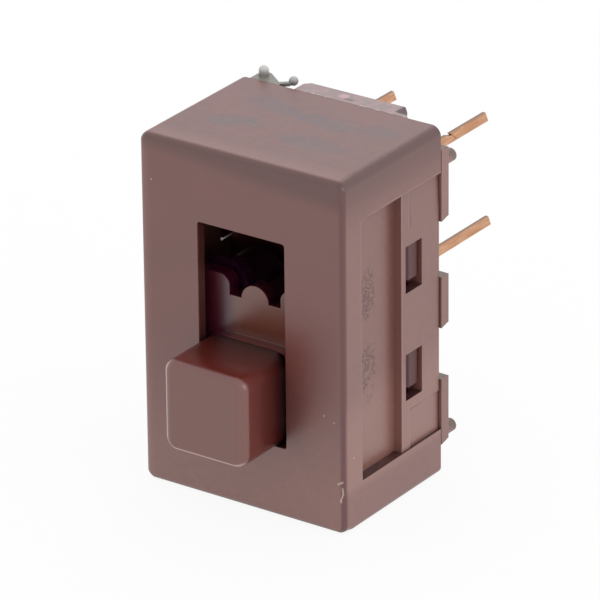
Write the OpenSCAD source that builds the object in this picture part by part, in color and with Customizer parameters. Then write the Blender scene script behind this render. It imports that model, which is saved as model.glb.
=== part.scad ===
// Double-pole slide switch for a printed board: moulded housing, snap-in base,
// slider with a square knob, and spring-loaded bridge contacts.
// Origin at the centre of the lower end face, +Z up, front face towards -Y.

/* [Housing] */
// Width of the housing, side to side
body_w = 21; // [20.5:0.1:23]
// Depth of the housing, front face to open back
body_d = 14.8; // [14.4:0.1:17]
// Height of the housing, end to end
body_h = 32.7; // [32.5:0.1:36]
// Radius of the edges round the front face
edge_r = 0.6; // [0.3:0.1:0.9]
// Radius of the long edges at the top
top_corner_r = 0.9; // [0.6:0.1:1.1]
// Radius of the long edges at the bottom
low_corner_r = 0.6; // [0.3:0.1:0.9]
// Thickness of the front wall
front_wall = 1; // [0.8:0.1:1.3]
// Thickness of the top and bottom walls
end_wall = 1.2; // [1:0.1:1.3]
// Thickness of the side walls
side_wall = 1; // [0.7:0.1:1.1]

/* [Slot] */
// Width of the slot that the knob runs in
slot_w = 9; // [8.8:0.1:10]
// Radius of the slot's corners
slot_r = 0.3; // [0.2:0.1:0.6]
// How far the slot's centre lies below the middle of the housing
slot_drop = 0.15; // [0:0.05:0.3]
// Room between the knob and each end of the slot
slot_end_gap = 0.48; // [0.3:0.02:0.7]

/* [Sides] */
// Depth of the shallow strip along the back of each side
strip_depth = 0.2; // [0.1:0.05:0.3]
// Depth of the sunk panel below that strip
panel_depth = 0.8; // [0.7:0.05:1.1]
// Distance from the front face to the sunk panel
panel_front = 2.7; // [2.2:0.1:3.2]
// Length of the sunk panel, front to back
panel_len = 6.3; // [5.6:0.1:6.4]
// Radius of the sunk panel's upper front corner
panel_r = 0.8; // [0.4:0.1:1.2]
// Distance from the ends of the housing to the sunk panel and the strip
panel_end = 4.25; // [3.8:0.05:4.8]
// Depth of the two fine relief fields in the strip
relief_depth = 0.12; // [0.05:0.01:0.2]
// Height of each relief field
relief_h = 3.7; // [3.2:0.1:4]
// Distance from the sunk panel to the relief fields
relief_back = 1.3; // [1.2:0.05:2]
// Distance from the sunk panel to the snap windows
window_back = 0.65; // [0.6:0.05:1]
// Length of a snap window, front to back
window_l = 2.5; // [2.3:0.1:2.6]
// Height of a snap window
window_h = 4.35; // [4:0.05:4.6]
// How far the windows lie below the middles between the contact rows
window_drop = 0.07; // [0:0.01:0.2]

/* [Slider] */
// Distance that the slider travels, and the pitch of the contact rows
row_pitch = 10.1; // [9.8:0.1:10.2]
// Width of the knob
knob_w = 8.3; // [7.5:0.1:8.5]
// Height of the knob
knob_h = 8.05; // [7.6:0.05:8.2]
// How far the knob stands out of the front face
knob_out = 5.7; // [4:0.1:8]
// Radius of the knob's outline at its corners
knob_corner_r = 0.95; // [0.5:0.05:1.5]
// Radius of the knob's front edges at its two sides
knob_side_r = 0.8; // [0.4:0.1:1.2]
// Radius of the knob's front edges at its top and bottom
knob_end_r = 0.5; // [0.3:0.1:1]
// Depth of the gap between the front wall and the slider plate
plate_gap = 1; // [0.8:0.1:1.3]
// Thickness of the slider plate
plate_t = 1.4; // [1.2:0.1:1.6]
// Room between the slider plate and the end wall at the lower stop
plate_end_gap = 0.7; // [0.5:0.05:1.1]
// Side clearance of the slider plate in the housing
plate_clear = 0.3; // [0.2:0.05:0.4]
// Radius of the round tooth in the middle of the plate's ends
tooth_r = 1.4; // [1.1:0.1:1.6]
// Width of the notch on each side of the tooth
notch_w = 1.25; // [1:0.05:1.4]
// Depth of those notches
notch_depth = 1.75; // [1.6:0.05:2]
// Radius of the shoulders beside the notches
shoulder_r = 1; // [0.6:0.1:1.3]

/* [Contacts] */
// Distance from the sides of the housing to the middle of each pole
pole_in = 5.8; // [5.6:0.05:6.1]
// Width of a contact carrier
carrier_w = 5.5; // [5.2:0.1:5.8]
// Room between a contact carrier and the end wall at the lower stop
carrier_end_gap = 0.2; // [0.15:0.05:0.5]
// Gap between the slider plate and the carriers
carrier_gap = 0.6; // [0.4:0.1:0.8]
// Depth of the full-length rim at the front of a carrier
rim_l = 1.2; // [0.8:0.1:1.6]
// How far a carrier draws in behind that rim, at each end
rim_step = 1.2; // [0.6:0.1:1.5]
// Outer diameter of a contact spring
spring_d = 3; // [2.6:0.1:3.2]
// Diameter of the spring wire
spring_wire = 0.4; // [0.3:0.05:0.45]
// Turns of a contact spring
spring_turns = 4; // [3:1:5]
// Depth of the spring pocket in a carrier
pocket_depth = 3.4; // [3:0.1:3.8]
// Radial clearance of the spring in its pocket
pocket_clear = 0.2; // [0.1:0.05:0.3]
// Thickness of a bridge strip
bridge_t = 0.6; // [0.5:0.05:0.7]
// Width of a bridge strip
bridge_w = 3.6; // [3.2:0.1:4]
// Length of a bridge strip beyond its contact points
bridge_end = 2; // [1.7:0.1:2.4]
// Depth of the groove that the strip lies in
groove_depth = 0.3; // [0.2:0.05:0.4]
// Diameter of a moving contact point
point_d = 2.4; // [2:0.1:2.8]
// Height of a moving contact point
point_h = 0.7; // [0.6:0.05:0.9]
// Diameter of the shank of a moving contact point
shank_d = 1.2; // [1:0.1:1.4]
// Diameter of a fixed contact
fixed_d = 2.8; // [2.6:0.1:3.2]
// Height of a fixed contact
fixed_h = 0.5; // [0.4:0.05:0.7]
// Running gap between moving and fixed contacts
contact_gap = 0.03; // [0.02:0.01:0.06]

/* [Terminals] */
// Thickness of the terminal sheet
sheet_t = 0.3; // [0.25:0.05:0.5]
// Width of a terminal pad
pad_w = 3.4; // [3:0.1:4]
// Height of a terminal pad
pad_h = 3.2; // [3:0.1:4]
// Height of the anchor stretch inside the base
anchor_h = 2.4; // [2:0.1:2.8]
// Height of a pin
pin_h = 0.95; // [0.7:0.05:1.1]
// How far the pins lie above their contacts
pin_rise = 0.45; // [0.3:0.05:0.6]
// How far the longest pin reaches behind the housing
pin_out = 16.6; // [12:0.1:18]
// How much shorter the pins of the top row are
top_pin_short = 0.5; // [0:0.05:1]
// How much shorter still the left pin of the top row is
left_pin_short = 0.4; // [0:0.05:0.8]
// How far the slanted cut of a pin's tip runs back
tip_slant = 0.45; // [0.2:0.05:0.8]
// Depth of the shear nick in the right top pin
nick_depth = 0.28; // [0.1:0.02:0.35]
// Distance from the housing's back to that nick
nick_end = 9.95; // [9:0.05:11]

/* [Base] */
// Thickness of the base plate
base_t = 3.2; // [3:0.1:3.4]
// Clearance between the base and the housing
base_clear = 0.1; // [0.05:0.01:0.15]
// Clearance of a terminal in its base slot
slot_clear = 0.05; // [0.03:0.01:0.08]
// Height of the wall between the two poles
barrier_h = 1.4; // [1:0.1:1.8]
// Thickness of the wall between the two poles
barrier_t = 1; // [0.8:0.1:1.2]
// Thickness of a latch tongue
tongue_t = 0.85; // [0.7:0.05:1]
// Height of a latch tongue
tongue_h = 3.35; // [2.8:0.05:3.6]
// How far a latch hook lies below the surface around it
hook_sink = 0.3; // [0.2:0.05:0.5]
// Distance from a latch hook to the back edge of its window
hook_gap = 0.32; // [0.1:0.02:0.4]
// Thickness of the standoff flanges behind the housing
foot_t = 1.1; // [0.8:0.1:1.2]
// Gap between the housing's back edge and the flanges
foot_gap = 0.1; // [0.1:0.05:0.3]
// How far the flanges reach inwards from the sides
foot_w = 2.85; // [2.6:0.05:3.2]
// Height of the upper flanges
top_foot_h = 6.35; // [5.8:0.05:7]
// Distance from the top of the housing to the upper flanges
top_foot_end = 2.25; // [1.8:0.05:2.8]
// Height of the middle flanges
mid_foot_h = 4.55; // [4:0.05:5.4]
// Height of the lower flanges
low_foot_h = 6; // [5.4:0.05:6.6]
// Distance from the bottom of the housing to the lower flanges
low_foot_end = 2.95; // [2.6:0.05:2.95]
// Diameter of the locating pegs
peg_d = 1.2; // [1:0.05:1.3]
// Length of the locating pegs
peg_l = 1.3; // [1.2:0.05:2.4]
// Distance from the sides to the peg axes
peg_in = 0.65; // [0.65:0.05:1.2]
// Distance from the ends of the housing to the peg axes
peg_end = 3.56; // [3.5:0.01:3.7]
// Gap between the housing's back edge and the top bar
bar_gap = 0.05; // [0.05:0.01:0.15]
// How far the top bar reaches behind the housing
bar_out = 1.95; // [1.8:0.05:2.2]
// Height of the top bar
bar_h = 1.8; // [1.5:0.1:2.2]
// Width of the top bar
bar_w = 11.75; // [10:0.05:12]
// Distance from the right side to the top bar
bar_in = 3.4; // [3:0.1:4.5]
// Width of the lug beside the top bar
lug_w = 3; // [2.6:0.1:3.2]
// Distance from the left side to the lug
lug_in = 1.2; // [1:0.1:1.4]

/* [Hidden] */
$fn = 64;

eps = 0.01;
big = 100;
mid_z = body_h / 2 - slot_drop;             // middle contact row, and middle of the slot
low_z = mid_z - row_pitch / 2;              // middle of the slider at its lower stop
top_z = mid_z + row_pitch;                  // top contact row
slot_h = knob_h + row_pitch + 2 * slot_end_gap;
pole_x = body_w / 2 - pole_in;              // distance of each pole from the middle plane
plate_h = 2 * (low_z - end_wall - plate_end_gap);
carrier_l = 2 * (low_z - end_wall - carrier_end_gap);
strip_x = body_w / 2 - strip_depth;         // face of the strip
panel_x = strip_x - panel_depth;            // face of the sunk panel
panel_back = panel_front + panel_len;       // step between panel and strip
front_half = panel_x - side_wall;           // half width inside, front part
rear_half = strip_x - side_wall;            // half width inside, rear part
plate_y = front_wall + plate_gap;           // front of the slider plate
plate_half = front_half - plate_clear;      // half width of the slider plate
carrier_y = plate_y + plate_t + carrier_gap;
base_y = body_d - base_t;                   // front face of the base plate
pad_y = base_y - sheet_t;
contact_y = pad_y - fixed_h;                // face of the fixed contacts
point_y = contact_y - contact_gap;          // crest of the moving points
bridge_y = point_y - point_h - bridge_t;    // front of the bridge strips
carrier_back = bridge_y + groove_depth;
window_y = panel_back + window_back;
window_z = [for (s = [-1, 1]) mid_z - window_drop + s * row_pitch / 2];
foot_y = body_d + foot_gap;
seat_y = foot_y + foot_t;                   // plane that a board seats on

housing_brown = [0.47, 0.36, 0.33];
base_brown = [0.51, 0.42, 0.39];
slider_brown = [0.50, 0.39, 0.36];
carrier_black = [0.09, 0.08, 0.09];
copper = [0.85, 0.58, 0.38];
silver = [0.80, 0.80, 0.78];
steel = [0.62, 0.63, 0.65];

// Moves from the front face, where depths are counted, to the middle of the depth.
module from_front() translate([0, -body_d / 2, 0]) children();

// Rectangle centred on the origin with round corners.
module round_rect(w, h, r) {
    square([w - 2 * r, h], center = true);
    square([w, h - 2 * r], center = true);
    for (sx = [-1, 1], sy = [-1, 1])
        translate([sx * (w / 2 - r), sy * (h / 2 - r)]) circle(r);
}

// Extrudes an outline drawn in X and Z from depth y0 to depth y1.
module along_y(y0, y1) {
    translate([0, y1, 0]) rotate([90, 0, 0]) linear_extrude(y1 - y0) children();
}

// Extrudes an outline drawn in X and Y from height z0 to height z1.
module along_z(z0, z1) translate([0, 0, z0]) linear_extrude(z1 - z0) children();

// Extrudes an outline drawn in Y and Z from x0 to x1.
module along_x(x0, x1) {
    translate([x0, 0, 0]) rotate([90, 0, 90]) linear_extrude(x1 - x0) children();
}

// Half plane profile, depth by width, whose front corners are rounded.
module front_rounded(depth, width, r) {
    translate([r, -width / 2]) square([depth - r, width]);
    translate([0, -width / 2 + r]) square([depth, width - 2 * r]);
    for (s = [-1, 1]) translate([r, s * (width / 2 - r)]) circle(r);
}

// Rectangle centred on the origin whose corners are rounder, or less round, at the top.
module end_on(w, h, low_r, top_r) {
    translate([-w / 2, low_r - h / 2]) square([w, h - low_r - top_r]);
    for (e = [[-1, low_r], [1, top_r]]) {
        translate([0, e[0] * (h - e[1]) / 2]) square([w - 2 * e[1], e[1]], center = true);
        for (s = [-1, 1]) translate([s * (w / 2 - e[1]), e[0] * (h / 2 - e[1])]) circle(e[1]);
    }
}

// Block from depth y0 to y1 with round front edges, its long edges as round as its outline.
module soft_block(w, h, y0, y1, low_r, top_r, side_r, end_r) {
    intersection() {
        along_y(y0, y1) end_on(w, h, low_r, top_r);
        along_z(-h, h) translate([0, y0]) rotate(90) front_rounded(y1 - y0, w, side_r);
        along_x(-w, w) translate([y0, 0]) front_rounded(y1 - y0, h, end_r);
    }
}

// One side's sunk panel, strip, relief fields and snap windows, as cutters.
module side_cuts() {
    strip_top = body_h - panel_end;
    strip_h = strip_top - panel_end;
    relief_y = panel_back + relief_back;
    along_x(strip_x, body_w) translate([panel_back, panel_end]) square([big, strip_h]);
    along_x(panel_x, body_w) {
        translate([panel_front, panel_end]) square([panel_len, strip_h - panel_r]);
        translate([panel_front + panel_r, strip_top - panel_r]) {
            circle(panel_r);
            square([panel_len - panel_r, panel_r]);
        }
    }
    // the lower field is sunk evenly, the upper one runs out towards its foot
    along_x(strip_x - relief_depth, body_w)
        translate([relief_y, panel_end]) square([big, relief_h]);
    along_y(relief_y, big)
        polygon([[strip_x - relief_depth, strip_top], [strip_x, strip_top - relief_h],
                 [body_w, strip_top - relief_h], [body_w, strip_top]]);
    for (z = window_z)
        along_x(rear_half - eps, body_w)
            translate([window_y, z - window_h / 2]) square([window_l, window_h]);
}

module housing() {
    color(housing_brown) from_front() difference() {
        translate([0, 0, body_h / 2])
            soft_block(body_w, body_h, 0, body_d, low_corner_r, top_corner_r, edge_r, edge_r);
        // room for the slider, then the wider room for the base
        difference() {
            translate([-front_half, front_wall, end_wall])
                cube([2 * front_half, body_d, body_h - 2 * end_wall]);
            for (s = [-1, 1]) guide_rail(s);
        }
        translate([-rear_half, panel_back, end_wall])
            cube([2 * rear_half, body_d, body_h - 2 * end_wall]);
        translate([0, 0, mid_z]) along_y(-1, front_wall + 1) round_rect(slot_w, slot_h, slot_r);
        side_cuts();
        mirror([1, 0, 0]) side_cuts();
    }
}

// Rail on the inside of the front wall that the slider plate runs along.
module guide_rail(s) {
    rail_w = 2;
    rail_gap = 0.1;
    translate([s * (front_half - rail_w / 2) - rail_w / 2, 0, 0])
        cube([rail_w, plate_y - rail_gap, body_h]);
}

// Outline of the slider plate: both ends have a round tooth between two notches.
module plate_outline() {
    field = tooth_r + notch_w;
    difference() {
        round_rect(2 * plate_half, plate_h, shoulder_r);
        for (e = [0, 1]) mirror([0, e]) translate([0, plate_h / 2 - notch_depth]) {
            translate([-field, 0]) square([2 * field, notch_depth + 1]);
            for (s = [0, 1]) mirror([s, 0]) difference() {
                translate([field - eps, notch_depth - shoulder_r])
                    square([shoulder_r + eps, shoulder_r + 1]);
                translate([field + shoulder_r, notch_depth - shoulder_r]) circle(shoulder_r);
            }
        }
    }
    for (e = [0, 1]) mirror([0, e]) translate([0, plate_h / 2 - notch_depth]) circle(tooth_r);
}

module slider() {
    web_gap = 0.2;      // between the web and each carrier
    web_short = 1;      // how far the web stays in front of the carriers' backs
    web_low = 0.4;      // how far the web ends below the floors of the notches
    web_w = 2 * (pole_x - carrier_w / 2 - web_gap);
    web_h = plate_h - 2 * (notch_depth + web_low);
    stub_d = spring_d - 2 * spring_wire - 0.3;
    stub_l = 1.6;
    color(slider_brown) from_front() translate([0, 0, low_z]) {
        along_y(plate_y, plate_y + plate_t) plate_outline();
        soft_block(knob_w, knob_h, -knob_out, plate_y + plate_t / 2,
                   knob_corner_r, knob_corner_r, knob_side_r, knob_end_r);
        // web between the carriers, and a stub inside each spring
        translate([-web_w / 2, plate_y, -web_h / 2])
            cube([web_w, carrier_back - plate_y - web_short, web_h]);
        for (s = [-1, 1]) translate([s * pole_x, plate_y + plate_t - eps, 0])
            rotate([-90, 0, 0]) cylinder(d = stub_d, h = stub_l);
    }
}

// Black moulded carrier: round ends, a longer rim and a spring pocket in front, and a
// groove for the bridge strip behind.
module carrier(s) {
    shank_room = 0.1;
    color(carrier_black) from_front() translate([s * pole_x, 0, low_z]) difference() {
        union() {
            along_y(carrier_y, carrier_y + rim_l)
                round_rect(carrier_w, carrier_l, carrier_w / 2 - eps);
            along_y(carrier_y, carrier_back)
                round_rect(carrier_w, carrier_l - 2 * rim_step, carrier_w / 2 - eps);
        }
        translate([0, carrier_y - eps, 0]) rotate([-90, 0, 0])
            cylinder(d = spring_d + 2 * pocket_clear, h = pocket_depth + eps);
        translate([-bridge_w / 2 - shank_room, bridge_y, -bridge_half() - shank_room])
            cube([bridge_w + 2 * shank_room, 1, 2 * (bridge_half() + shank_room)]);
        for (e = [-1, 1]) translate([0, bridge_y - point_h, e * row_pitch / 2])
            rotate([-90, 0, 0]) cylinder(d = shank_d + 2 * shank_room, h = point_h + eps);
    }
}

function bridge_half() = row_pitch / 2 + bridge_end;

// Bridge strip that joins two rows, drilled for its two contact points.
module bridge(s) {
    color(copper) from_front() translate([s * pole_x, 0, low_z]) difference() {
        along_y(bridge_y, bridge_y + bridge_t)
            round_rect(bridge_w, 2 * bridge_half(), bridge_w / 4);
        for (e = [-1, 1]) translate([0, bridge_y - 1, e * row_pitch / 2])
            rotate([-90, 0, 0]) cylinder(d = shank_d, h = bridge_t + 2);
    }
}

// Domed silver contact point riveted through the bridge strip.
module point(s, e) {
    dome_r = 3;
    color(silver) from_front()
        translate([s * pole_x, bridge_y, low_z + e * row_pitch / 2]) rotate([-90, 0, 0]) {
            translate([0, 0, -point_h / 2]) cylinder(d = shank_d, h = bridge_t + point_h);
            intersection() {
                translate([0, 0, bridge_t]) cylinder(d = point_d, h = point_h);
                translate([0, 0, bridge_t + point_h - dome_r]) sphere(dome_r);
            }
        }
}

// Coil spring wound round the depth axis, swept ring by ring.
module contact_spring(s) {
    sides = 8;
    steps = 14;
    wire_r = spring_wire / 2;
    coil_r = spring_d / 2 - wire_r;
    length = carrier_gap + pocket_depth - spring_wire;
    rings = spring_turns * steps;
    points = [for (i = [0:rings], k = [0:sides - 1])
        let (turn = 360 * i / steps, around = 360 * k / sides, r = coil_r + wire_r * cos(around))
            [r * cos(turn), wire_r * sin(around) + length * i / rings, r * sin(turn)]];
    faces = concat(
        [[for (k = [0:sides - 1]) k]],
        [for (i = [0:rings - 1], k = [0:sides - 1]) let (n = (k + 1) % sides)
            [i * sides + k, (i + 1) * sides + k, (i + 1) * sides + n, i * sides + n]],
        [[for (k = [sides - 1:-1:0]) rings * sides + k]]);
    color(steel) from_front() translate([s * pole_x, plate_y + plate_t + wire_r, low_z])
        polyhedron(points, faces, convexity = 10);
}

// Flat silver contact on a terminal's pad.
module fixed_contact(s, z) {
    bevel = 0.15;
    color(silver) from_front() translate([s * pole_x, contact_y, z]) rotate([-90, 0, 0]) {
        cylinder(d1 = fixed_d - 2 * bevel, d2 = fixed_d, h = bevel);
        translate([0, 0, bevel]) cylinder(d = fixed_d, h = fixed_h - bevel);
    }
}

// Stamped terminal: pad in front of the base, anchor inside it, pin behind.
module terminal(s, z, short = 0, nick = false) {
    tip_y = body_d + pin_out - short;
    pad_r = 0.4;
    nick_l = 0.6;
    nick_lean = 1.2;    // how far nick and score run back for each mm that they go down
    score_w = 0.12;
    score_depth = 0.06;
    x0 = s * pole_x - sheet_t / 2;
    low = z + pin_rise - pin_h / 2;
    high = low + pin_h;
    color(copper) from_front() difference() {
        union() {
            along_y(pad_y, base_y) translate([s * pole_x, z]) round_rect(pad_w, pad_h, pad_r);
            translate([x0, pad_y, z - anchor_h / 2]) cube([sheet_t, body_d - pad_y, anchor_h]);
            along_x(x0, x0 + sheet_t) polygon([[base_y, low], [tip_y, low],
                                               [tip_y - tip_slant, high], [base_y, high]]);
        }
        // a slanting nick in the upper edge, and the score that runs on from it
        if (nick) {
            nick_y = body_d + nick_end;
            along_x(x0 - 1, x0 + sheet_t + 1)
                polygon([[nick_y - nick_l, high + eps], [nick_y, high + eps],
                         [nick_y + nick_lean * nick_depth, high - nick_depth]]);
            along_x(x0 + sheet_t - score_depth, x0 + sheet_t + 1)
                polygon([[nick_y, high + eps], [nick_y + score_w, high + eps],
                         [nick_y + score_w + nick_lean * pin_h, low - eps],
                         [nick_y + nick_lean * pin_h, low - eps]]);
        }
    }
}

// Latch tongue on the right side at the window whose centre is at height z.
module tongue(z) {
    outer = rear_half - base_clear;
    hook_x = strip_x - hook_sink;
    hook_y = window_y + window_l - hook_gap;
    z0 = z + window_h / 2 - base_clear - tongue_h;
    translate([0, 0, z0]) linear_extrude(tongue_h) polygon([
        [outer - tongue_t, panel_back + base_clear], [outer, panel_back + base_clear],
        [outer, window_y + base_clear], [hook_x, window_y + base_clear + hook_x - outer],
        [hook_x, hook_y], [outer, hook_y], [outer, base_y + 1], [outer - tongue_t, base_y + 1]]);
}

// Standoff flange on the right side, from height z0 up, with its outer end bevelled.
module foot(z0, h) {
    bevel = 0.25;
    root_w = rear_half - base_clear - (body_w / 2 - foot_w);
    translate([body_w / 2 - foot_w, foot_y, z0]) cube([foot_w, foot_t, h]);
    translate([body_w / 2 - foot_w, body_d - eps, z0]) cube([root_w, foot_gap + 2 * eps, h]);
    along_x(body_w / 2 - foot_w, body_w / 2)
        polygon([[foot_y, z0 - bevel], [seat_y, z0 + eps], [foot_y, z0 + eps]]);
}

// Top bar and the small lug beside it, flush with the top of the housing.
module top_bar() {
    y0 = body_d + bar_gap;
    y1 = body_d + bar_out;
    z0 = body_h - bar_h;
    bar_x = [body_w / 2 - bar_in - bar_w, body_w / 2 - bar_in];
    lug_x = [lug_in - body_w / 2, lug_in + lug_w - body_w / 2];
    bar_corner = 0.5;
    // the bar, its right end stepped back and its top there sloped down behind a lip
    bar_lip = 0.5;
    slope_l = 1.6;
    slope_drop = 0.45;
    difference() {
        along_z(z0, body_h)
            polygon([[bar_x[0], y0], [bar_x[1], y0], [bar_x[1] - bar_corner, y0 + bar_lip],
                     [bar_x[1] - 2 * bar_corner, y1 - bar_corner],
                     [bar_x[1] - 3 * bar_corner, y1], [bar_x[0] + bar_corner, y1],
                     [bar_x[0], y1 - bar_corner]]);
        along_y(y0 + bar_lip, y1 + 1)
            polygon([[bar_x[1] - slope_l, body_h], [bar_x[1], body_h - slope_drop],
                     [bar_x[1], body_h + 1], [bar_x[1] - slope_l, body_h + 1]]);
    }
    // the lug, whose right side runs out in a long slope
    lug_corner = 0.3;
    lug_top = 0.8;
    along_z(z0, body_h)
        polygon([[lug_x[0], y0], [lug_x[1], y0], [lug_x[1], y0 + lug_corner],
                 [lug_x[0] + lug_top + lug_corner, y1 - lug_corner / 2],
                 [lug_x[0] + lug_top, y1], [lug_x[0] + lug_corner, y1],
                 [lug_x[0], y1 - lug_corner]]);
    // root of both, on the back of the base plate
    root_t = 0.9;
    root_h = 1.3;
    translate([lug_x[0], body_d - eps, body_h - end_wall - base_clear - root_h])
        cube([bar_x[1] - lug_x[0] - bar_corner, root_t, root_h]);
    // gate stub with a round top on the lug
    stub_x = lug_x[0] + 0.65;
    stub_y = y0 + 1.15;
    stub_d = 0.9;
    stub_h = 0.45;
    translate([stub_x, stub_y, body_h - bar_h / 2]) cylinder(d = stub_d, h = bar_h / 2 + stub_h);
    translate([stub_x, stub_y, body_h + stub_h]) sphere(d = stub_d);
    // round bead between lug and bar, on a thin neck that rises from the lug
    bead_x = lug_x[1] + 0.85;
    bead_y = y0 + 1.05;
    bead_rise = 0.2;
    bead_d = 0.85;
    neck_t = 0.3;
    neck_in = 0.9;      // how far the neck starts inside the lug
    translate([bead_x, bead_y, body_h + bead_rise]) sphere(d = bead_d);
    along_y(bead_y - 2 * neck_t, bead_y)
        polygon([[lug_x[1] - neck_in, body_h - 2 * neck_t], [bead_x, body_h + bead_rise - neck_t],
                 [bead_x, body_h + bead_rise], [lug_x[1] - neck_in, body_h - neck_t]]);
}

module base() {
    half = rear_half - base_clear;
    z0 = end_wall + base_clear;
    color(base_brown) from_front() difference() {
        union() {
            translate([-half, base_y, z0]) cube([2 * half, base_t, body_h - 2 * z0]);
            translate([-barrier_t / 2, base_y - barrier_h, z0])
                cube([barrier_t, barrier_h + 1, body_h - 2 * z0]);
            for (m = [0, 1]) mirror([m, 0, 0]) {
                for (z = window_z) tongue(z);
                foot(low_foot_end, low_foot_h);
                foot((body_h - mid_foot_h) / 2, mid_foot_h);
                foot(body_h - top_foot_end - top_foot_h, top_foot_h);
                for (z = [peg_end, body_h - peg_end])
                    translate([body_w / 2 - peg_in, seat_y - eps, z])
                        rotate([-90, 0, 0]) cylinder(d = peg_d, h = peg_l + eps);
            }
            top_bar();
        }
        for (s = [-1, 1], z = [mid_z, top_z])
            translate([s * pole_x - sheet_t / 2 - slot_clear, base_y - 1, z - anchor_h / 2 - slot_clear])
                cube([sheet_t + 2 * slot_clear, base_t + 2, anchor_h + 2 * slot_clear]);
    }
}

housing();
base();
slider();
carrier(-1);  // left_carrier
carrier(1);  // right_carrier
contact_spring(-1);  // left_spring
contact_spring(1);  // right_spring
bridge(-1);  // left_bridge
bridge(1);  // right_bridge
point(-1, 1);  // left_upper_point
point(-1, -1);  // left_lower_point
point(1, 1);  // right_upper_point
point(1, -1);  // right_lower_point
terminal(-1, mid_z);  // left_middle_terminal
terminal(1, mid_z);  // right_middle_terminal
terminal(-1, top_z, top_pin_short + left_pin_short);  // left_top_terminal
terminal(1, top_z, top_pin_short, true);  // right_top_terminal
fixed_contact(-1, mid_z);  // left_middle_contact
fixed_contact(1, mid_z);  // right_middle_contact
fixed_contact(-1, top_z);  // left_top_contact
fixed_contact(1, top_z);  // right_top_contact
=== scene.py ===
"""Board-mounted slide switch, dressed piece by piece in the order it is put together."""
import math

import bmesh
import bpy
from mathutils import Matrix, Vector


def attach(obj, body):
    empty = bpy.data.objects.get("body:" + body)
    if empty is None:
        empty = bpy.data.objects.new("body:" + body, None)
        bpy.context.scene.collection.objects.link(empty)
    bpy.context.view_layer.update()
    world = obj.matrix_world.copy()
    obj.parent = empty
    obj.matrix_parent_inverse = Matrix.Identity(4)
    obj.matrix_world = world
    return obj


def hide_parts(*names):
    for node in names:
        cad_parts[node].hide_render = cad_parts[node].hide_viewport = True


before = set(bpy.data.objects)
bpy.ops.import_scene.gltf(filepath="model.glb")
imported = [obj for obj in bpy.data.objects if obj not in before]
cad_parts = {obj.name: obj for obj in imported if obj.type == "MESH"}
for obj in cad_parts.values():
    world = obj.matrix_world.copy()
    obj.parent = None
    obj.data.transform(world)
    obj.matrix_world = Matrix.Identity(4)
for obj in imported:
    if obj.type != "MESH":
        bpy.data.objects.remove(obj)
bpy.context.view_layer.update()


# --- Housing -----------------------------------------------------------------
# Thermoset shell moulded in one shot, open at the back, with a fine matt skin.
# The mould leaves every edge broken by a hair. The top has rubbed-off grey ink,
# and handling has left a scratch and a few pale specks.

class Wire:
    """A socket in a material's nodes, whose sums and products add Math nodes."""

    def __init__(self, tree, socket=None):
        self.tree, self.socket = tree, socket

    def node(self, kind, settings=None, sockets=None, out=0):
        made = self.tree.nodes.new("ShaderNode" + kind)
        for key, value in (settings or {}).items():
            if key == "stops":
                ramp = made.color_ramp
                while len(ramp.elements) < len(value):
                    ramp.elements.new(1)
                for element, (place, colour) in zip(ramp.elements, value):
                    element.position, element.color = place, (*colour, 1)
            else:
                setattr(made, key, value)
        for key, value in (sockets or {}).items():
            if isinstance(value, Wire):
                self.tree.links.new(value.socket, made.inputs[key])
            else:
                made.inputs[key].default_value = value
        return Wire(self.tree, made.outputs[out])

    def _maths(self, operation, *values):
        return self.node("Math", {"operation": operation}, dict(enumerate(values)))

    def __add__(self, other):
        return self._maths("ADD", self, other)

    def __radd__(self, other):
        return self._maths("ADD", other, self)

    def __sub__(self, other):
        return self._maths("SUBTRACT", self, other)

    def __rsub__(self, other):
        return self._maths("SUBTRACT", other, self)

    def __mul__(self, other):
        return self._maths("MULTIPLY", self, other)

    def __rmul__(self, other):
        return self._maths("MULTIPLY", other, self)

    def __truediv__(self, other):
        return self._maths("DIVIDE", self, other)

    def __pow__(self, other):
        return self._maths("POWER", self, other)

    def step(self, low, high):
        """0 below low, 1 above high, smooth between; low above high turns it over."""
        if low > high:
            return 1 - self.step(high, low)
        return self.node("MapRange", {"interpolation_type": "SMOOTHSTEP"},
                         {0: self, 1: low, 2: high, 3: 0.0, 4: 1.0})

    def tint(self, below, above):
        """The colour below where this is 0 and above where it is 1."""
        return self.node("Mix", {"data_type": "RGBA"}, {0: self, 6: below, 7: above}, out=2)

    def noise(self, per_mm, detail=2.0, roughness=0.5, distortion=0.0):
        """Cloudy noise from 0 to 1 on millimetre coordinates."""
        return self.node("TexNoise", None, {"Vector": self, "Scale": per_mm, "Detail": detail,
                                            "Roughness": roughness, "Distortion": distortion})


def finish(name, roughness, metallic=0.0, ior=1.5):
    """A new material, its Principled shader and a Wire on its surface in millimetres."""
    material = bpy.data.materials.new(name)
    material.use_nodes = True
    tree = material.node_tree
    shader = tree.nodes["Principled BSDF"]
    for key, value in (("Roughness", roughness), ("Metallic", metallic), ("IOR", ior)):
        shader.inputs[key].default_value = value
    start = Wire(tree)
    place = start.node("TexCoord", out="Object")
    return material, shader, start.node("VectorMath", {"operation": "SCALE"},
                                        {0: place, 3: 1000.0})


def feed(shader, **values):
    """Links wires to the shader's sockets; names have _ for a space."""
    for key, value in values.items():
        value.tree.links.new(value.socket, shader.inputs[key.replace("_", " ")])


def relief(height, depth_mm, normal=None):
    """A bumped normal from a height wire, in millimetres of depth."""
    sockets = {"Height": height, "Distance": depth_mm / 1000}
    if normal:
        sockets["Normal"] = normal
    return height.node("Bump", None, sockets)


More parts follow.
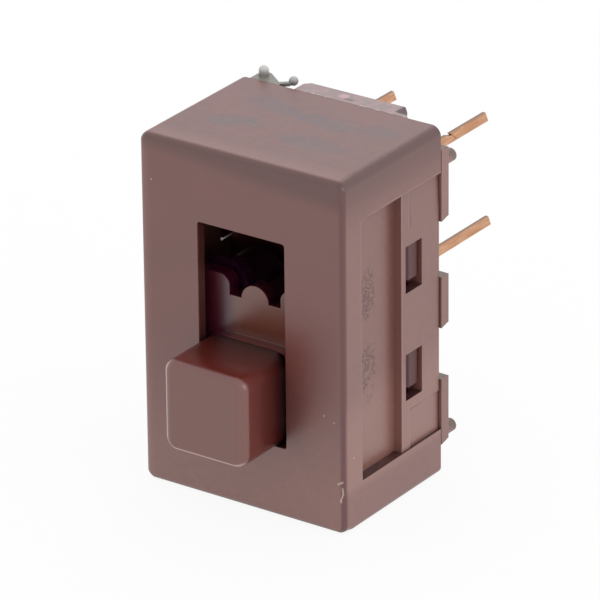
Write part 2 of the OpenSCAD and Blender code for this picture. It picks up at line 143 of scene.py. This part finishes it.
def edge_wear(place, radius_mm):
    """1 on edges that stand out or turn in within radius, 0 on flat faces."""
    flat = place.node("NewGeometry", out="Normal")
    round_ = place.node("Bevel", {"samples": 4}, {0: radius_mm / 1000})
    dot = place.node("VectorMath", {"operation": "DOT_PRODUCT"}, {0: flat, 1: round_}, out="Value")
    return (1 - dot).step(0.01, 0.25)


def openness(place, reach_mm):
    """1 on open faces, towards 0 in corners and narrow recesses within reach."""
    return place.node("AmbientOcclusion", {"samples": 6}, {"Distance": reach_mm / 1000}, out="AO")


def parts(vector):
    """The three components of a vector wire."""
    return [vector.node("SeparateXYZ", None, {0: vector}, out=i) for i in range(3)]


def within(value, low, high, soft):
    """1 where value lies between low and high, fading over soft at both ends."""
    return value.step(low - soft, low + soft) * value.step(high + soft, high - soft)


def blot(across, along, ragged, middle, radii):
    """A patch with a ragged edge, 1 inside the ellipse about middle and 0 outside."""
    u, v = (across - middle[0]) / radii[0], (along - middle[1]) / radii[1]
    return (u * u + v * v + (ragged - 0.5) * 2.2).step(1.3, 0.5)


def stroke(across, along, start, end, half_width):
    """A fine scratch from start to end."""
    run = [e - s for s, e in zip(start, end)]
    length = math.hypot(*run)
    u = ((across - start[0]) * run[0] + (along - start[1]) * run[1]) / length
    v = ((across - start[0]) * run[1] - (along - start[1]) * run[0]) / length
    return within(u, 0, length, 0.06) * within(v, -half_width, half_width, 0.05)


def srgb(r, g, b):
    """A colour given in display steps of 0 to 255, as the shader wants it."""
    return tuple((c / 255 / 12.92 if c <= 10 else ((c / 255 + 0.055) / 1.055) ** 2.4)
                 for c in (r, g, b)) + (1.0,)


def wear_in(node, material):
    """Gives a solid of the frame its finish."""
    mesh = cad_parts[node].data
    mesh.materials.clear()
    mesh.materials.append(material)


def round_front(front, size, middle, fillet, corner, back_rings):
    """Mesh of a block with a rounded front: every corner of the outline turns like a ball.

    Lengths in mm. The fillet is (across, depth, upright) and corner is the outline's radius
    at the front; back_rings gives further depths behind the front with their corner radii.
    """
    turns = [math.radians(a) for a in range(0, 91, 9)]
    rings = [(0.0, 0.02, fillet[0], fillet[2])]
    rings += [(fillet[1] * (1 - math.cos(a)), 0.0, fillet[0] * (1 - math.sin(a)),
               fillet[2] * (1 - math.sin(a))) for a in turns]
    outline = [(d, size[0] / 2 - dx - more, size[1] / 2 - dz - more, corner - (dx + dz) / 2)
               for d, more, dx, dz in rings]
    outline += [(d, size[0] / 2, size[1] / 2, r) for d, r in back_rings]
    shape = bmesh.new()
    loops = []
    for d, half_w, half_h, r in outline:
        loops.append([])
        for quarter, (sx, sz) in enumerate(((1, 1), (-1, 1), (-1, -1), (1, -1))):
            for a in turns:
                a += quarter * math.pi / 2
                loops[-1].append(shape.verts.new(
                    ((middle[0] + sx * (half_w - r) + r * math.cos(a)) / 1000, (front + d) / 1000,
                     (middle[1] + sz * (half_h - r) + r * math.sin(a)) / 1000)))
    for near, far in zip(loops, loops[1:]):
        for i, corner_vert in enumerate(near):
            j = (i + 1) % len(near)
            shape.faces.new((corner_vert, near[j], far[j], far[i])).smooth = True
    shape.faces.new(loops[0])
    shape.faces.new(loops[-1])
    bmesh.ops.recalc_face_normals(shape, faces=shape.faces)
    mesh = bpy.data.meshes.new("round_front")
    shape.to_mesh(mesh)
    return mesh


def placed(name, data):
    """A new object in the scene that shows the mesh, lamp or camera."""
    made = bpy.data.objects.new(name, data)
    bpy.context.scene.collection.objects.link(made)
    return made


def smooth_under(mesh, degrees=28):
    """Shades the mesh smooth across every edge that turns by less than the angle."""
    own_normals = mesh.attributes.get("custom_normal")
    if own_normals:
        mesh.attributes.remove(own_normals)
    mesh.polygons.foreach_set("use_smooth", [True] * len(mesh.polygons))
    mesh.set_sharp_from_angle(angle=math.radians(degrees))


def moulded(name, colour, roughness, seed, ior=1.9, reach=0.45, shade_share=0.6, shade_colour=None):
    """Fine-grained moulded plastic with slow tone clouds and rubbed edges.

    Painted shade darkens corners and recesses within reach, towards the given shade colour by the
    given share.
    """
    shade_colour = shade_colour or tuple(c * 0.25 for c in colour[:3]) + (1.0,)
    material, shader, place = finish(name, roughness, ior=ior)
    shifted = place.node("VectorMath", {"operation": "ADD"}, {0: place, 1: (seed, 2 * seed, 0)})
    clouds = shifted.noise(0.12, 3, 0.55)
    grain = shifted.noise(7.0, 2, 0.6)
    mottle = shifted.noise(1.6, 3, 0.6)
    tone = (clouds.step(0.3, 0.7) * 0.5 + mottle.step(0.3, 0.7) * 0.25
            + grain.step(0.25, 0.75) * 0.25)
    dark = tuple(c * 0.88 for c in colour[:3]) + (1.0,)
    light = tuple(c * 1.12 for c in colour[:3]) + (1.0,)
    skin = tone.tint(dark, light)
    clear = openness(place, reach)
    worn = edge_wear(place, 0.16) * clear.step(0.7, 0.95) * mottle.step(0.35, 0.6)
    paler = tuple(min(1, c * 1.5 + 0.02) for c in colour[:3]) + (1.0,)
    skin = (worn * 0.6).tint(skin, paler)
    # painted shade in corners and recesses
    skin = (clear.step(0.93, 0.42) * shade_share).tint(skin, shade_colour)
    rough = (roughness - 0.05) + mottle * 0.06 + grain * 0.04
    return material, shader, place, skin, rough, grain, mottle


plastic = srgb(99, 45, 37)
width, depth, height = 21.0, 14.8, 32.7
front_y, back_y = -depth / 2, depth / 2
slot_half_w, slot_low, slot_high = 4.5, 6.6, 25.8
recess_low, recess_high = 4.3, 28.4      # ends of the stepped recess in each flank
material, shader, place, skin, rough, grain, mottle = moulded("housing_plastic", plastic, 0.36, 3.0)
x, y, z = parts(place)
facing = parts(place.node("NewGeometry", out="Normal"))
top, front = facing[2].step(0.8, 0.95), facing[1].step(-0.8, -0.95)
side = (facing[0] * facing[0]).step(0.64, 0.9)
outward = (x * x) ** 0.5                 # distance from the middle plane
ragged = place.noise(0.55, 4, 0.7, 0.6)

# painted light: the front paler towards its foot and at its left edge, the flank paler below its
# top
painted_light = srgb(150, 108, 98)
skin = (front * z.step(16, 1) * 0.35 * (0.7 + mottle * 0.6)).tint(skin, painted_light)
skin = (front * x.step(-9.2, -10.3) * 0.25).tint(skin, painted_light)
skin = (side * z.step(31.5, 26.5) * 0.27 * (0.6 + mottle * 0.8)).tint(skin, painted_light)
# painted shade: browner and darker just under the top on both faces, and on the fillets round the
# right front, top right and top front edges
under = srgb(72, 12, 0)
skin = (front * (z + x * 0.08).step(30.0, 31.9) * 0.85).tint(skin, under)
skin = (side * z.step(29.0, 31.8) * 0.6).tint(skin, under)
skin = (facing[0].step(0.1, 0.5) * facing[1].step(-0.1, -0.5) * 0.95).tint(skin, srgb(78, 2, 0))
skin = (facing[0].step(0.1, 0.5) * facing[2].step(0.1, 0.5) * 0.75).tint(skin, srgb(66, 18, 12))
skin = (facing[2].step(0.1, 0.5) * facing[1].step(-0.1, -0.5) * 0.7).tint(skin, srgb(66, 10, 0))
# painted light: the top paler towards its front edge
skin = (top * y.step(-4.5, -6.8) * 0.27).tint(skin, painted_light)
# painted shade: the front beside the knob has less light; painted light: the flank paler towards
# its foot
dim = z.step(5.5, 8.0) * z.step(14.5, 11.0) * x.step(4.2, 4.8) * x.step(7.4, 5.4)
skin = (front * dim * 0.35).tint(skin, srgb(60, 6, 4))
skin = (side * z.step(14.0, 9.0) * z.step(3.2, 4.4) * 0.2).tint(skin, srgb(180, 132, 120))
# painted shade on the slot's inner walls and on the upward ledge and window sills of the flank
spill = 0.1                              # how far that painted shade reaches past the slot
slot = (within(x, -slot_half_w - spill, slot_half_w + spill, 0.02)
        * within(z, slot_low - spill, slot_high + spill, 0.02)
        * within(y, front_y + 0.12, front_y + 1.1, 0.06))
skin = (slot * 0.7).tint(skin, srgb(50, 10, 6))
ledge = facing[2].step(0.7, 0.9) * z.step(5.0, 4.6) * outward.step(9.0, 9.2)
skin = (ledge * 0.85).tint(skin, srgb(38, 8, 12))
sill = (facing[2].step(0.7, 0.9) * outward.step(9.2, 9.3) * within(y, 2.2, 4.8, 0.02)
        * z.step(30, 28))
skin = (sill * 0.9).tint(skin, srgb(34, 4, 10))
# painted light on the flank's steps that face the front
skin = (front * y.step(1.0, 1.3) * 0.35).tint(skin, painted_light)
relief_y, low_top, high_top = front_y + 10.3, 7.95, 28.45
# painted shade as a dark line along each border of the raised fields, with a faint painted
# highlight beside it
for edge, share, shade_and_highlight in ((0.1, 0.95, srgb(46, 4, 4)), (-0.1, 0.12, srgb(190, 156, 146))):
    border = (within(y, relief_y + edge - 0.06, relief_y + edge + 0.06, 0.04)
              * (within(z, recess_low, low_top, 0.1) + within(z, 24.9, high_top, 0.1))
              + within(z, low_top - edge - 0.06, low_top - edge + 0.06, 0.04)
              * within(y, relief_y, relief_y + 1.8, 0.6)
              + within(z, high_top - edge - 0.06, high_top - edge + 0.06, 0.04)
              * y.step(-4.2, -3.4))
    skin = (side * border * share).tint(skin, shade_and_highlight)
# painted highlights along the front edges of the flank's strip and panel
rims = ((within(y, 1.6, 1.78, 0.04) + within(y, -4.86, -4.7, 0.04) * 0.6)
        * within(z, recess_low, recess_high, 0.1))
skin = (side * rims * (0.15 + mottle * 0.4)).tint(skin, painted_light)
# blue-grey remains of rubbed-off ink on the top, in fine flecks, on a faint pink bloom
bloom = place.noise(2.2, 3, 0.7).step(0.4, 0.65)
skin = (top * bloom * 0.35).tint(skin, srgb(104, 42, 60))
ink = 0.0
for middle, radii in (((-5.7, 5.9), (1.7, 1.2)), ((-4.9, 11.0), (2.2, 1.3)),
                      ((-2.0, 10.4), (1.6, 1.2)), ((0.1, 10.3), (1.7, 1.1)),
                      ((2.9, 10.1), (2.4, 1.3)), ((7.0, 11.1), (1.5, 1.3)),
                      ((3.4, 5.8), (3.6, 1.3)), ((-3.5, 6.9), (1.5, 1.0))):
    u, v = (x - middle[0]) / radii[0], (y - (middle[1] + front_y)) / radii[1]
    ink = (u * u + v * v + (ragged - 0.5) * 3.0).step(1.7, 0.1) + ink
flecks = place.noise(3.4, 4, 0.75).step(0.38, 0.62)
skin = (top * ink.step(0.0, 1.3) * (0.15 + flecks * 0.75)).tint(skin, srgb(62, 54, 68))
stain = within(place.noise(0.8, 4, 0.7), 0.52, 0.62, 0.03)
skin = (top * stain * 0.15).tint(skin, srgb(120, 78, 50))
# one dark nick there, pale specks on front and flank, and a scratch on the corner
nick = blot(x, y, mottle, (-3.35, 6.94 + front_y), (0.22, 0.1))
skin = (top * nick * 0.8).tint(skin, srgb(30, 18, 16))
for across, mask, middle in ((x, front, (-9.23, 28.53)), (x, front, (8.41, 10.88)),
                             (x, front, (9.43, 10.49)), (y, side, (1.4 + front_y, 6.91))):
    speck = blot(across, z, mottle, middle, (0.07, 0.07))
    skin = (mask * speck * 0.6).tint(skin, srgb(214, 186, 172))
scratch = (stroke(x, z, (9.74, 4.76), (10.25, 5.06), 0.07)
           + stroke(x, z, (10.2, 4.5), (10.26, 3.9), 0.05)
           + stroke(x, z, (10.26, 3.9), (10.06, 3.3), 0.05)
           + stroke(x, z, (10.06, 3.35), (10.09, 3.1), 0.07))
skin = (scratch * y.step(-6.9, -7.1) * 0.6).tint(skin, srgb(205, 178, 165))
# two rubbed patches of low relief on the right flank
rubbed = (blot(y, z, ragged, (5.0 + front_y, 20.6), (1.1, 2.6))
          + blot(y, z, ragged, (5.0 + front_y, 13.6), (1.1, 3.0))) * side
lines = within(place.noise(1.1, 2, 0.5, 1.5), 0.47, 0.53, 0.02)
skin = (rubbed * lines * 0.6).tint(skin, srgb(60, 22, 18))
feed(shader, Base_Color=skin, Roughness=rough + top * 0.08,
     Normal=relief(grain - rubbed * lines * 2.5, 0.012,
                   place.node("Bevel", {"samples": 4}, {0: 0.00006})))
wear_in("housing", material)
# the shell's corners round the front turn like a ball, so the solid's mesh is trimmed by
# a block that lies outside it everywhere but there
spare, edge_r, corner_r = 0.02, 0.6, 1.0
trimmer = placed("trimmer", round_front(
    front_y - spare, (width + 2 * spare, height + 2 * spare), (0, height / 2),
    (edge_r, edge_r, edge_r), corner_r,
    ((0.64, corner_r), (1.0, 0.9), (1.4, 0.7), (1.8, 0.5), (2.2, 0.35), (depth + 0.15, 0.3))))
shell = placed("housing_shell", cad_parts["housing"].data.copy())
trim = shell.modifiers.new("trim", "BOOLEAN")
trim.operation, trim.solver, trim.object = "INTERSECT", "EXACT", trimmer
graph = bpy.context.evaluated_depsgraph_get()
shell.data = bpy.data.meshes.new_from_object(shell.evaluated_get(graph))
shell.modifiers.clear()
bpy.data.objects.remove(trimmer)
smooth_under(shell.data)
shell.modifiers.new("flat_faces", "WEIGHTED_NORMAL").keep_sharp = True
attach(shell, "housing")
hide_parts("housing")

# --- Slider --------------------------------------------------------------------
# One moulding of the same brown compound: a square knob on a flat plate, which runs
# between the front wall and the carriers. Thumbs have polished the knob a little. Its
# faces carry painted shade and painted highlights, and painted shade darkens the plate.
plate_shade = srgb(36, 2, 18)
# painted shade in the corners and recesses within 2.2 mm, in the plate's shade colour
material, shader, place, skin, rough, grain, mottle = moulded(
    "slider_plastic", plastic, 0.3, 11.0, reach=2.2, shade_share=0.9, shade_colour=plate_shade)
x, y, z = parts(place)
facing = parts(place.node("NewGeometry", out="Normal"))
# painted shade: the faces turned right and up darker and redder; the faces turned to the front get
# a browner copy
skin = (facing[0].step(0.5, 0.9) * 0.4).tint(skin, srgb(100, 22, 10))
skin = (facing[2].step(0.5, 0.9) * 0.45).tint(skin, srgb(102, 20, 12))
skin = (facing[1].step(-0.8, -0.95) * 0.6).tint(skin, srgb(102, 48, 24))
# painted highlight along the knob's left and lower front edges
rim = (facing[0].step(-0.35, -0.7) + facing[2].step(-0.25, -0.6)) * facing[1].step(-0.3, -0.6)
skin = (rim.step(0, 1) * 0.6).tint(skin, srgb(205, 160, 146))
# painted highlight on the knob's right front fillet
bevel = facing[0].step(0.15, 0.35) * facing[1].step(-0.3, -0.6)
skin = (bevel * 0.25).tint(skin, srgb(120, 58, 42))
# painted shade: behind the front wall the plate is darkened, most of all at the left
behind = y.step(front_y + 2.12, front_y + 2.3)
skin = (behind * 0.9).tint(skin, plate_shade)
skin = (y.step(-6.6, -6.3) * x.step(-1.7, -2.8) * 0.8).tint(skin, srgb(62, 0, 32))
feed(shader, Base_Color=skin, Roughness=rough,
     Normal=relief(grain, 0.008, place.node("Bevel", {"samples": 4}, {0: 0.00008})))
wear_in("slider", material)
# the solid's knob is cut off inside the slot, and one with ball-round corners stands for it
cut_y = front_y + 0.8
cut = bmesh.new()
cut.from_mesh(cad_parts["slider"].data)
bmesh.ops.bisect_plane(cut, geom=cut.verts[:] + cut.edges[:] + cut.faces[:], dist=1e-7,
                       plane_co=(0, cut_y / 1000, 0), plane_no=(0, 1, 0), clear_inner=True)
bmesh.ops.holes_fill(cut, edges=[e for e in cut.edges if e.is_boundary])
plate = placed("slider_plate", bpy.data.meshes.new("slider_plate"))
cut.to_mesh(plate.data)
smooth_under(plate.data)
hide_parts("slider")
knob_out, knob_size, knob_middle = 5.7, (8.5, 8.42), (-0.1, 10.965)
knob_fillet, knob_corner_r = (1.0, 0.8, 0.5), 1.2
knob = placed("knob", round_front(
    front_y - knob_out, knob_size, knob_middle, knob_fillet, knob_corner_r,
    ((0.83, knob_corner_r), (knob_out + 0.9, knob_corner_r))))
for piece in (plate, knob):
    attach(piece, "slider")
    piece.data.materials.append(material)

# --- Contact carriers ----------------------------------------------------------
# Two glossy black mouldings with round ends, one for each pole.
# They ride on the slider and press the bridges on the fixed contacts.
material, shader, place = finish("carrier_plastic", 0.16, ior=1.6)
scuffs = place.noise(2.5, 3, 0.6)
feed(shader, Base_Color=scuffs.step(0.3, 0.8).tint(srgb(42, 6, 32), srgb(50, 14, 40)),
     Roughness=0.1 + scuffs * 0.14, Normal=relief(place.noise(5.0), 0.006))
for side in ("left", "right"):
    wear_in(side + "_carrier", material)

# --- Contact springs -----------------------------------------------------------
# Bright steel wire, coiled in four turns.
# One sits in the pocket of each carrier, round a stub on the slider, and pushes them apart.
material, shader, place = finish("spring_steel", 0.28, metallic=1.0)
drawn = place.noise(9.0, 2, 0.6)
feed(shader, Base_Color=drawn.tint(srgb(140, 142, 148), srgb(168, 170, 176)),
     Roughness=0.22 + drawn * 0.14, Normal=relief(drawn, 0.004))
for side in ("left", "right"):
    wear_in(side + "_spring", material)

# --- Bridges -------------------------------------------------------------------
# Flat strips of copper alloy, one in the groove of each carrier.
# Each is long enough to join two contact rows.
material, shader, place = finish("bridge_metal", 0.3, metallic=1.0)
stretched = place.node("VectorMath", {"operation": "MULTIPLY"}, {0: place, 1: (9.0, 9.0, 0.6)})
rolled = stretched.noise(1.0, 3, 0.6)
feed(shader, Base_Color=rolled.tint(srgb(186, 120, 78), srgb(226, 160, 110)),
     Roughness=0.24 + rolled * 0.16, Normal=relief(rolled, 0.004))
for side in ("left", "right"):
    wear_in(side + "_bridge", material)

# --- Contact points and fixed contacts -----------------------------------------
# Silver rivets on the bridges and silver discs on the terminals.
# The points are domed; grey tarnish sits round their edges.
material, shader, place = finish("contact_metal", 0.25, metallic=1.0)
tarnish = place.noise(1.8, 4, 0.65)
feed(shader, Base_Color=tarnish.step(0.35, 0.75).tint(srgb(205, 203, 196), srgb(120, 112, 104)),
     Roughness=0.18 + tarnish * 0.2, Normal=relief(tarnish, 0.004))
for side in ("left", "right"):
    for piece in ("_upper_point", "_lower_point", "_middle_contact", "_top_contact"):
        wear_in(side + piece, material)

# --- Terminals -----------------------------------------------------------------
# Stamped from copper alloy sheet: a pad, an anchor through the base and a pin.
# The sheared faces are streaked along the pin, and painted shade darkens the faces turned upwards.
material, shader, place = finish("pin_metal", 0.38, metallic=1.0)
along = place.node("VectorMath", {"operation": "MULTIPLY"}, {0: place, 1: (6.0, 0.35, 6.0)})
streaks = along.noise(1.0, 3, 0.6)
blotches = place.noise(0.9, 3, 0.6)
alloy = streaks.step(0.3, 0.7).tint(srgb(188, 136, 100), srgb(222, 176, 142))
alloy = (blotches.step(0.5, 0.75) * 0.5).tint(alloy, srgb(200, 132, 92))
# painted shade on the faces turned upwards
upper = parts(place.node("NewGeometry", out="Normal"))[2].step(0.5, 0.9)
alloy = (upper * 0.85).tint(alloy, srgb(112, 96, 86))
feed(shader, Base_Color=alloy, Roughness=0.34 + streaks * 0.16, Normal=relief(streaks, 0.006))
for side in ("left", "right"):
    for row in ("_middle_terminal", "_top_terminal"):
        wear_in(side + row, material)

# --- Base ----------------------------------------------------------------------
# Snap-in plate of a greyer brown compound, with latch tongues, flanges and pegs.
# It holds the terminals; its gate stub and bar stand behind the housing's top.
material, shader, place, skin, rough, grain, mottle = moulded(
    "base_plastic", srgb(131, 95, 89), 0.42, 23.0, ior=1.6)
x, y, z = parts(place)
facing = parts(place.node("NewGeometry", out="Normal"))
# painted shade: the latch tongues are darker where they lie recessed in their windows
skin = (y.step(4.75, 4.6) * 0.95).tint(skin, srgb(68, 6, 0))
# the bar behind the top is bleached; painted shade makes its sloped right end purple
bar = z.step(31.5, 32.3) * y.step(back_y, back_y + 0.1)
patches = place.noise(1.3, 3, 0.7)
skin = (bar * (0.7 + mottle * 0.3)).tint(skin, srgb(160, 132, 136))
skin = (bar * patches.step(0.42, 0.6) * 0.6).tint(skin, srgb(128, 116, 112))
# painted highlight along the bar's front edge
skin = (bar * y.step(7.62, 7.5) * (0.25 + patches.step(0.5, 0.4))).tint(skin, srgb(205, 184, 172))
# scar of the mould's gate, and grey-green weathering on the flanges' tops and the pegs
skin = (bar * blot(x, y, mottle, (-0.14, 8.5), (0.45, 0.4)) * 0.8).tint(skin, srgb(196, 152, 168))
skin = (bar * blot(x, y, mottle, (0.7, 8.05), (0.5, 0.22)) * 0.7).tint(skin, srgb(88, 66, 66))
weather = (facing[2].step(0.2, 0.9) * y.step(7.45, 7.6) + y.step(8.75, 9.6)) * z.step(31.0, 30.9)
skin = (weather.step(0, 1) * (0.3 + patches * 0.5)).tint(skin, srgb(82, 82, 70))
# painted shade on the bar's sloped right end
skin = (bar * x.step(5.2, 5.6) * y.step(7.9, 8.1) * 0.9).tint(skin, srgb(58, 26, 34))
# lug, stub and bead have weathered to a pale grey
grey = x.step(-4.9, -5.1) * bar
skin = grey.tint(skin, srgb(122, 118, 112))
skin = (grey * z.step(32.7, 33.6) * 0.9).tint(skin, srgb(205, 203, 202))
feed(shader, Base_Color=skin, Roughness=rough,
     Normal=relief(grain, 0.012, place.node("Bevel", {"samples": 4}, {0: 0.00005})))
wear_in("base", material)

# --- Floor, room and lamps -----------------------------------------------------
# A wide pale table top, which shows white but keeps the shadow, in a white room.
# Two large soft lamps shine from the right and from behind at the left.
room = bpy.data.worlds.new("room")
bpy.context.scene.world = room
room.use_nodes = True
room.node_tree.nodes["Background"].inputs["Color"].default_value = (1, 1, 1, 1)
room.node_tree.nodes["Background"].inputs["Strength"].default_value = 1.0

table = bpy.data.meshes.new("table_top")
table.from_pydata([(-2, -2, 0), (2, -2, 0), (2, 2, 0), (-2, 2, 0)], [], [(0, 1, 2, 3)])
placed("table_top", table)
material = bpy.data.materials.new("table_paint")
material.use_nodes = True
tree = material.node_tree
paint = Wire(tree)
tree.nodes["Principled BSDF"].inputs["Base Color"].default_value = (0.9, 0.9, 0.9, 1)
tree.nodes["Principled BSDF"].inputs["Roughness"].default_value = 0.9
white = paint.node("Emission", None, {"Color": (1, 1, 1, 1), "Strength": 1.0})
seen = (paint.node("LightPath", out="Is Camera Ray")
        + paint.node("LightPath", out="Is Glossy Ray"))
lit = Wire(tree, tree.nodes["Principled BSDF"].outputs[0])
mixed = paint.node("MixShader", None, {0: seen * 0.9, 1: lit, 2: white})
tree.links.new(mixed.socket, tree.nodes["Material Output"].inputs["Surface"])
table.materials.append(material)


def lamp(name, towards, distance, size, power, target=(0, 0, 0.016)):
    """A square area lamp that shines from the direction given on the object."""
    light = bpy.data.lights.new(name, "AREA")
    light.size, light.energy = size, power
    holder = placed(name, light)
    heading = Vector(towards).normalized()
    holder.location = Vector(target) + heading * distance
    holder.rotation_euler = heading.to_track_quat("Z", "Y").to_euler()


lamp("side_lamp", (0.95, -0.15, 0.3), 0.5, 0.3, 0.4)
lamp("back_lamp", (-0.4, 0.75, 0.5), 0.5, 0.35, 0.18)

# --- Camera --------------------------------------------------------------------
# A long lens at the front right, a little above the switch, half a metre away.
azimuth, elevation, roll = math.radians(34.889), math.radians(24.537), math.radians(-0.606)
distance = 0.51479
aim = Vector((0.001669, -0.0011, 0.017573))
back = Vector((math.sin(azimuth) * math.cos(elevation),
               -math.cos(azimuth) * math.cos(elevation), math.sin(elevation)))
right = Vector((0, 0, 1)).cross(back).normalized()
up = back.cross(right)
right, up = (math.cos(roll) * right + math.sin(roll) * up,
             -math.sin(roll) * right + math.cos(roll) * up)
camera = placed("camera", bpy.data.cameras.new("camera"))
camera.data.sensor_width = 36
camera.data.lens = 361.1
camera.matrix_world = Matrix.Translation(aim + back * distance) @ Matrix(
    [[right[i], up[i], back[i]] for i in range(3)]).to_4x4()
bpy.context.scene.camera = camera
bpy.context.scene.view_settings.view_transform = "Standard"
